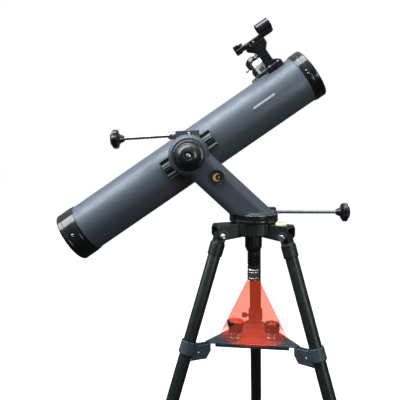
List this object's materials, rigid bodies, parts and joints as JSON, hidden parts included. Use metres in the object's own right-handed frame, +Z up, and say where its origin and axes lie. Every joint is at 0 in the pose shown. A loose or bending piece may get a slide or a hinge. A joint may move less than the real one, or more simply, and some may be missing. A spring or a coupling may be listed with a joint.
{
  "type": "reflector telescope on tripod",
  "caption": "Newtonian reflector telescope on a single-arm alt-azimuth mount with worm slow-motion controls and a folding tripod with accessory tray.",
  "frame": {"origin": "on the floor, under the middle of the bounding box of the whole object at rest", "axes": "+Z is up; the tube lies in an X-Z plane and its open end points to +X and up; the mount arm is on the -Y side of the tube"},
  "size_m": [0.7144, 0.5142, 1.1791],
  "materials": {
    "tube_enamel": "satin blue-grey enamel with a fine texture",
    "arm_enamel": "die-cast, satin blue-grey enamel with a fine texture",
    "gloss_black": "glossy moulded black",
    "satin_black_cast": "die-cast, satin black",
    "satin_black_tube": "steel tube, satin black powder coat",
    "satin_black_plastic": "satin moulded black",
    "slate_plastic": "dark slate, satin",
    "slate_metal": "slate enamel on steel sheet",
    "steel": "turned and zinc plated",
    "brass": "cut gear teeth, greased",
    "chrome": "bright plated",
    "rubber": "moulded, matt",
    "lens_glass": "coated",
    "mirror_glass": "aluminised front face",
    "vial": "clear level with yellow-green liquid",
    "red_lens": "translucent red"
  },
  "bodies": {
    "hub": {"tripod_hub": "satin_black_cast", "bubble_level": "vial", "base_ring": "satin_black_cast", "azimuth_bolt": "steel", "azimuth_wheel": "brass", "lamp_socket": "satin_black_plastic", "lamp_barrel": "gloss_black", "leg_1_pivot_bolt": "steel", "leg_2_pivot_bolt": "steel", "leg_3_pivot_bolt": "steel"},
    "lamp_head": {"lamp_head": "chrome", "lamp_lens": "red_lens"},
    "tray": {"tray": "slate_metal"},
    "eyepiece_1": {"eyepiece_1_barrel": "chrome", "eyepiece_1_body": "gloss_black"},
    "eyepiece_2": {"eyepiece_2_barrel": "chrome", "eyepiece_2_body": "gloss_black"},
    "mount_head": {"turntable": "gloss_black", "arm": "arm_enamel"},
    "azimuth_control": {"azimuth_rod": "steel", "azimuth_knob": "gloss_black"},
    "altitude_control": {"altitude_rod": "steel", "altitude_knob": "gloss_black"},
    "altitude_lock": {"altitude_lock_knob": "gloss_black"},
    "tube": {"saddle_plate": "satin_black_cast", "altitude_wheel": "brass", "altitude_shaft": "steel", "main_tube": "tube_enamel", "rear_cell": "gloss_black", "primary_mirror": "mirror_glass", "front_ring": "gloss_black", "spider": "satin_black_tube", "secondary_mirror": "mirror_glass", "focuser_body": "gloss_black", "finder_bracket": "gloss_black", "finder_body": "gloss_black", "finder_lens": "lens_glass"},
    "drawtube": {"focuser_drawtube": "chrome"},
    "focus_knobs": {"focuser_pinion": "gloss_black"},
    "leg_1": {"leg_1_top": "satin_black_cast", "leg_1_tube": "satin_black_tube", "leg_1_tray_collar": "slate_plastic", "leg_1_lock": "satin_black_plastic"},
    "leg_1_knob": {"leg_1_lock_knob": "satin_black_plastic"},
    "leg_1_lower": {"leg_1_lower_tube": "satin_black_tube", "leg_1_foot": "rubber"},
    "leg_2": {"leg_2_top": "satin_black_cast", "leg_2_tube": "satin_black_tube", "leg_2_tray_collar": "slate_plastic", "leg_2_lock": "satin_black_plastic"},
    "leg_2_knob": {"leg_2_lock_knob": "satin_black_plastic"},
    "leg_2_lower": {"leg_2_lower_tube": "satin_black_tube", "leg_2_foot": "rubber"},
    "leg_3": {"leg_3_top": "satin_black_cast", "leg_3_tube": "satin_black_tube", "leg_3_tray_collar": "slate_plastic", "leg_3_lock": "satin_black_plastic"},
    "leg_3_knob": {"leg_3_lock_knob": "satin_black_plastic"},
    "leg_3_lower": {"leg_3_lower_tube": "satin_black_tube", "leg_3_foot": "rubber"}
  },
  "joints": [
    {"name": "azimuth", "type": "hinge", "parent": "hub", "child": "mount_head", "pos_m": [0.0995, -0.05906, 0.69529], "axis": [0, 0, 1], "continuous": true},
    {"name": "azimuth_control_turn", "type": "hinge", "parent": "mount_head", "child": "azimuth_control", "pos_m": [0.0995, -0.02156, 0.73759], "axis": [1, 0, 0], "continuous": true},
    {"name": "altitude", "type": "hinge", "parent": "mount_head", "child": "tube", "pos_m": [-0.044, -0.05906, 0.87029], "axis": [0, -1, 0], "range_deg": [-39, 40]},
    {"name": "altitude_control_turn", "type": "hinge", "parent": "mount_head", "child": "altitude_control", "pos_m": [-0.04682, -0.07306, 0.9152], "axis": [-0.998, 0, -0.0628], "range_deg": [-2082, 2030]},
    {"name": "altitude_lock_turn", "type": "hinge", "parent": "mount_head", "child": "altitude_lock", "pos_m": [-0.044, -0.05906, 0.87029], "axis": [0, -1, 0], "range_deg": [-45, 270]},
    {"name": "focus", "type": "slide", "parent": "tube", "child": "drawtube", "axis": [-0.5014, 0.4695, 0.7268], "range_m": [-0.012, 0.02]},
    {"name": "focus_knob_turn", "type": "hinge", "parent": "tube", "child": "focus_knobs", "pos_m": [0.13548, 0.06046, 1.0539], "axis": [0.8231, 0, 0.5678], "range_deg": [-192, 116]},
    {"name": "leg_1_fold", "type": "hinge", "parent": "hub", "child": "leg_1", "pos_m": [0.1095, 0.02233, 0.69529], "axis": [-0.9925, 0.1219, 0], "range_deg": [0, 8]},
    {"name": "leg_1_extend", "type": "slide", "parent": "leg_1", "child": "leg_1_lower", "axis": [0.0371, 0.3024, -0.9524], "range_m": [-0.055, 0.33]},
    {"name": "leg_1_knob_turn", "type": "hinge", "parent": "leg_1", "child": "leg_1_knob", "pos_m": [0.13215, 0.2068, 0.11429], "axis": [0.1161, 0.9453, 0.3047], "range_deg": [-45, 360]},
    {"name": "leg_2_fold", "type": "hinge", "parent": "hub", "child": "leg_2", "pos_m": [0.02402, -0.0911, 0.69529], "axis": [0.3907, -0.9205, 0], "range_deg": [0, 8]},
    {"name": "leg_2_extend", "type": "slide", "parent": "leg_2", "child": "leg_2_lower", "axis": [-0.2805, -0.1191, -0.9524], "range_m": [-0.055, 0.33]},
    {"name": "leg_2_knob_turn", "type": "hinge", "parent": "leg_2", "child": "leg_2_knob", "pos_m": [-0.14707, -0.16373, 0.11429], "axis": [-0.8767, -0.3722, 0.3047], "range_deg": [-45, 360]},
    {"name": "leg_3_fold", "type": "hinge", "parent": "hub", "child": "leg_3", "pos_m": [0.16499, -0.10841, 0.69529], "axis": [0.6018, 0.7986, 0], "range_deg": [0, 8]},
    {"name": "leg_3_extend", "type": "slide", "parent": "leg_3", "child": "leg_3_lower", "axis": [0.2433, -0.1834, -0.9524], "range_m": [-0.055, 0.33]},
    {"name": "leg_3_knob_turn", "type": "hinge", "parent": "leg_3", "child": "leg_3_knob", "pos_m": [0.31343, -0.22027, 0.11429], "axis": [0.7607, -0.5732, 0.3047], "range_deg": [-45, 360]},
    {"name": "tray_turn", "type": "hinge", "parent": "hub", "child": "tray", "pos_m": [0.0995, -0.05906, 0.69529], "axis": [0, 0, 1], "range_deg": [0, 60]},
    {"name": "eyepiece_1_lift", "type": "slide", "parent": "tray", "child": "eyepiece_1", "axis": [0, 0, 1], "range_m": [0, 0.08]},
    {"name": "eyepiece_2_lift", "type": "slide", "parent": "tray", "child": "eyepiece_2", "axis": [0, 0, 1], "range_m": [0, 0.08]},
    {"name": "lamp_head_turn", "type": "hinge", "parent": "hub", "child": "lamp_head", "pos_m": [0.0995, -0.05906, 0.69529], "axis": [0, 0, 1], "range_deg": [0, 90]}
  ],
  "couplings": [
    {"joint": "azimuth_control_turn", "follows": "azimuth", "ratio": -42},
    {"joint": "altitude_control_turn", "follows": "altitude", "ratio": -52},
    {"joint": "focus_knob_turn", "follows": "focus", "rad_per_m": -166.67},
    {"joint": "leg_2_fold", "follows": "leg_1_fold", "ratio": 1},
    {"joint": "leg_3_fold", "follows": "leg_1_fold", "ratio": 1},
    {"joint": "tray_turn", "follows": "leg_1_fold", "ratio": 7.5}
  ]
}
